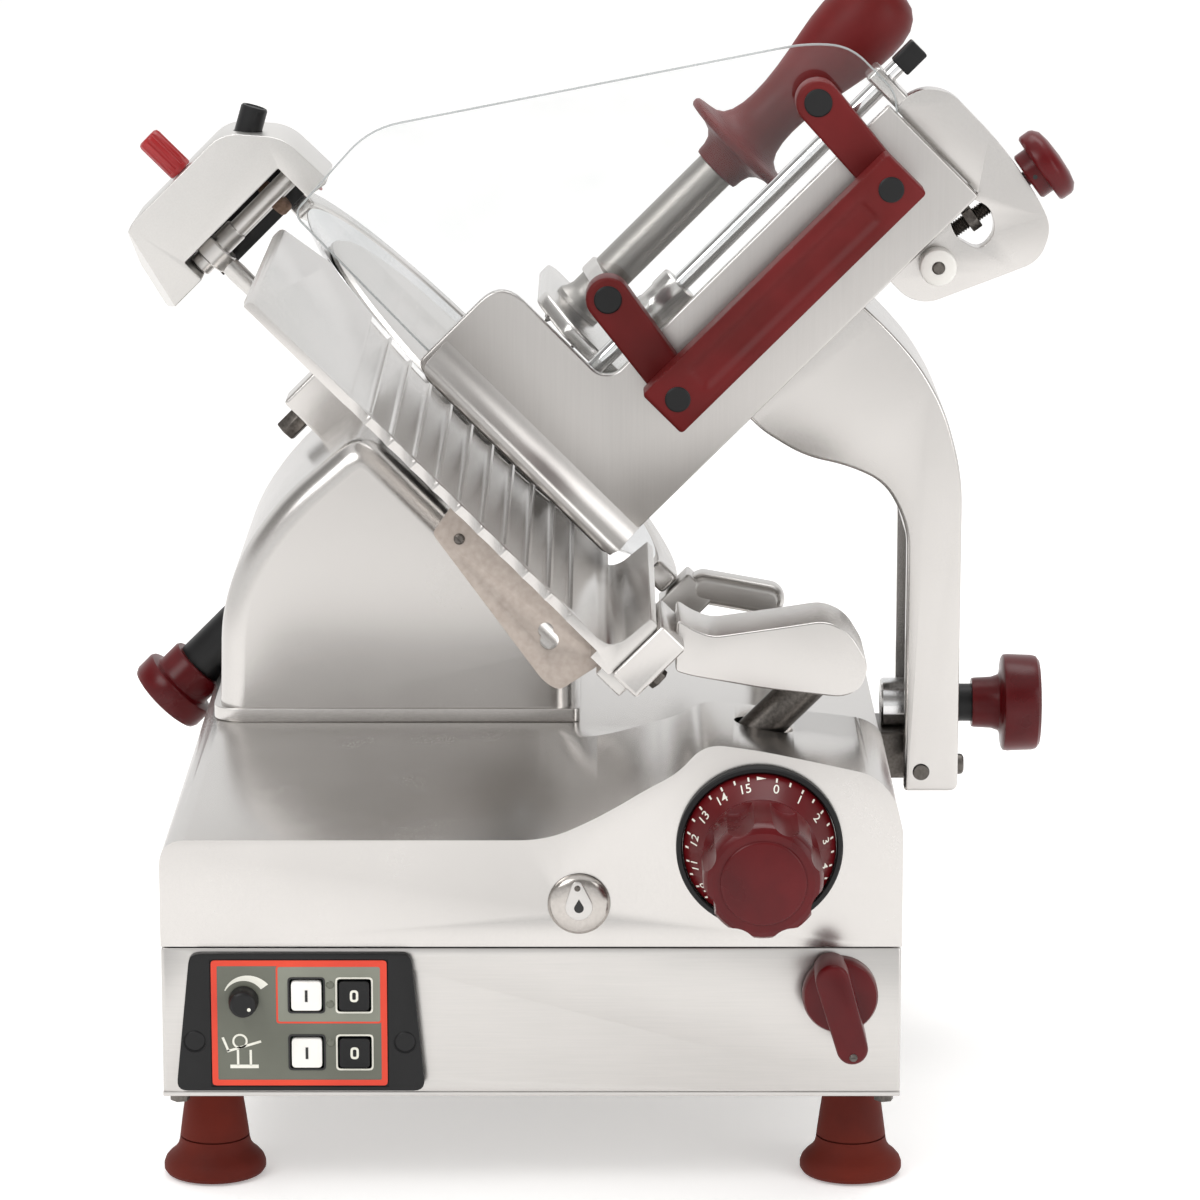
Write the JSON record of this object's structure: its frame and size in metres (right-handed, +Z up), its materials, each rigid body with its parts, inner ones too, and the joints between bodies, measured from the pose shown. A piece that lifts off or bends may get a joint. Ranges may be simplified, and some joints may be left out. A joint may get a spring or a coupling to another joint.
{
  "type": "deli meat slicer",
  "caption": "Gravity-feed deli meat slicer with a round blade at an angle, sliding food carriage with pusher, gauge plate with a thickness dial and a top sharpener.",
  "frame": {"origin": "middle of the machine's outline seen from above, on the surface that it stands on", "axes": "+X to the operator's right, towards the carriage arm; +Y away from the operator, along the carriage's stroke; +Z up"},
  "size_m": [0.617, 0.731, 0.6958],
  "materials": {
    "cast_aluminium": "polished casting",
    "stainless": "satin",
    "chrome": "polished",
    "dark_steel": "dark",
    "wine_red": "semi gloss",
    "signal_red": "semi gloss",
    "brown_rubber": "matt",
    "black": "satin",
    "white": "satin",
    "green_board": "matt",
    "stone": "gritty",
    "clear_sheet": "clear polished"
  },
  "bodies": {
    "base": {"base_casting": "cast_aluminium", "base_box": "stainless", "bottom_plate": "stainless", "foot_front_left": "brown_rubber", "foot_front_right": "brown_rubber", "foot_back_left": "brown_rubber", "foot_back_right": "brown_rubber", "power_inlet": "black", "oil_cup": "dark_steel", "control_panel": "black", "control_board": "green_board", "dial_bezel": "black", "motor_housing": "cast_aluminium", "hub_bearing": "dark_steel", "blade_cover": "stainless", "blade_motor": "dark_steel", "drive_belt": "black", "ring_guard": "cast_aluminium", "ring_stay": "stainless", "sharpener_housing": "cast_aluminium", "sharpener_spindle": "stainless", "sharpener_arm": "stainless", "carriage_rail": "chrome"},
    "trolley": {"trolley": "dark_steel", "pivot_pin": "dark_steel"},
    "carriage": {"carriage_arm": "cast_aluminium", "product_tray": "stainless", "clear_guard": "clear_sheet", "carriage_handle": "wine_red", "pusher_rod": "chrome", "end_bracket": "cast_aluminium"},
    "lock_knob": {"lock_knob": "wine_red"},
    "gauge": {"gauge_plate": "cast_aluminium", "gauge_arm": "cast_aluminium", "gauge_shaft": "dark_steel", "slice_deflector": "stainless"},
    "dial": {"thickness_dial": "wine_red", "dial_shaft": "dark_steel"},
    "blade": {"blade": "chrome", "blade_hub": "dark_steel"},
    "motor_rotor": {"motor_pulley": "dark_steel"},
    "tie_rod_knob": {"tie_rod_knob": "wine_red", "tie_rod": "dark_steel"},
    "pusher_sleeve": {"pusher_sleeve": "cast_aluminium"},
    "pusher": {"pusher_plate": "cast_aluminium", "pusher_handle": "wine_red"},
    "sharpener_knob": {"sharpener_knob": "signal_red"},
    "sharpener_button": {"sharpener_button": "black"},
    "grinding_stone": {"grinding_stone": "stone"},
    "honing_stone": {"honing_stone": "stone"},
    "start_blade_button": {"start_blade_button": "white"},
    "start_feed_button": {"start_feed_button": "white"},
    "stop_blade_button": {"stop_blade_button": "black"},
    "stop_feed_button": {"stop_feed_button": "black"},
    "speed_knob": {"speed_knob": "black"},
    "stroke_lever": {"stroke_lever": "wine_red"},
    "oil_cover": {"oil_cover": "stainless"},
    "end_knob": {"end_knob": "wine_red"},
    "roller": {"roller": "white"}
  },
  "joints": [
    {"name": "carriage_slide", "type": "slide", "parent": "base", "child": "trolley", "axis": [0, 1, 0], "range_m": [-0.29, 0.06]},
    {"name": "carriage_tilt", "type": "hinge", "parent": "trolley", "child": "carriage", "pos_m": [0.21588, 0.06653, 0.188], "axis": [0, 1, 0], "range_deg": [0, 60]},
    {"name": "lock_knob_turn", "type": "hinge", "parent": "carriage", "child": "lock_knob", "pos_m": [0.26588, 0.06653, 0.221], "axis": [1, 0, 0], "range_deg": [0, 360]},
    {"name": "gauge_slide", "type": "slide", "parent": "base", "child": "gauge", "axis": [-0.7071, 0, -0.7071], "range_m": [0, 0.015]},
    {"name": "dial_turn", "type": "hinge", "parent": "base", "child": "dial", "pos_m": [0.10138, -0.32048, 0.218], "axis": [0, -1, 0], "range_deg": [0, 347]},
    {"name": "blade_spin", "type": "hinge", "parent": "base", "child": "blade", "pos_m": [-0.07513, 0.17952, 0.41154], "axis": [0.7071, 0, 0.7071], "continuous": true},
    {"name": "motor_spin", "type": "hinge", "parent": "base", "child": "motor_rotor", "pos_m": [-0.05533, 0.11953, 0.24749], "axis": [0.7071, 0, 0.7071], "continuous": true},
    {"name": "tie_rod_turn", "type": "hinge", "parent": "base", "child": "tie_rod_knob", "pos_m": [-0.28161, 0.17952, 0.20506], "axis": [0.7071, 0, 0.7071], "range_deg": [0, 360]},
    {"name": "pusher_slide", "type": "slide", "parent": "carriage", "child": "pusher_sleeve", "axis": [0.7071, 0, 0.7071], "range_m": [0, 0.17]},
    {"name": "pusher_swing", "type": "hinge", "parent": "pusher_sleeve", "child": "pusher", "pos_m": [0.04083, 0.01953, 0.49073], "axis": [0.7071, 0, 0.7071], "range_deg": [0, 60]},
    {"name": "sharpener_knob_turn", "type": "hinge", "parent": "base", "child": "sharpener_knob", "pos_m": [-0.28302, 0.16953, 0.57134], "axis": [0.7071, 0, -0.7071], "range_deg": [0, 360]},
    {"name": "sharpener_button_press", "type": "slide", "parent": "base", "child": "sharpener_button", "axis": [-0.2764, 0, -0.9611], "range_m": [0, 0.005], "stiffness_N_per_m": 400},
    {"name": "grinding_stone_spin", "type": "hinge", "parent": "base", "child": "grinding_stone", "pos_m": [-0.2505, 0.19953, 0.49922], "axis": [0.7071, 0, 0.7071], "continuous": true},
    {"name": "honing_stone_spin", "type": "hinge", "parent": "base", "child": "honing_stone", "pos_m": [-0.21231, 0.19953, 0.5374], "axis": [0.7071, 0, 0.7071], "continuous": true},
    {"name": "start_blade_press", "type": "slide", "parent": "base", "child": "start_blade_button", "axis": [0, 1, 0], "range_m": [0, 0.0015], "stiffness_N_per_m": 600},
    {"name": "start_feed_press", "type": "slide", "parent": "base", "child": "start_feed_button", "axis": [0, 1, 0], "range_m": [0, 0.0015], "stiffness_N_per_m": 600},
    {"name": "stop_blade_press", "type": "slide", "parent": "base", "child": "stop_blade_button", "axis": [0, 1, 0], "range_m": [0, 0.0015], "stiffness_N_per_m": 600},
    {"name": "stop_feed_press", "type": "slide", "parent": "base", "child": "stop_feed_button", "axis": [0, 1, 0], "range_m": [0, 0.0015], "stiffness_N_per_m": 600},
    {"name": "speed_knob_turn", "type": "hinge", "parent": "base", "child": "speed_knob", "pos_m": [-0.20552, -0.29047, 0.124], "axis": [0, -1, 0], "range_deg": [0, 270]},
    {"name": "stroke_lever_turn", "type": "hinge", "parent": "base", "child": "stroke_lever", "pos_m": [0.14988, -0.30047, 0.128], "axis": [0, 1, 0], "range_deg": [0, 90]},
    {"name": "oil_cover_swing", "type": "hinge", "parent": "base", "child": "oil_cover", "pos_m": [-0.00662, -0.28747, 0.194], "axis": [0, -1, 0], "range_deg": [0, 120]},
    {"name": "end_knob_turn", "type": "hinge", "parent": "carriage", "child": "end_knob", "pos_m": [0.27488, 0.00352, 0.576], "axis": [0.8104, 0, 0.5859], "range_deg": [0, 360]},
    {"name": "roller_spin", "type": "hinge", "parent": "carriage", "child": "roller", "pos_m": [0.22038, -0.01047, 0.524], "axis": [0, 1, 0], "continuous": true}
  ],
  "couplings": [
    {"joint": "dial_turn", "follows": "gauge_slide", "rad_per_m": 403.7},
    {"joint": "motor_spin", "follows": "blade_spin", "ratio": 1.2857}
  ]
}
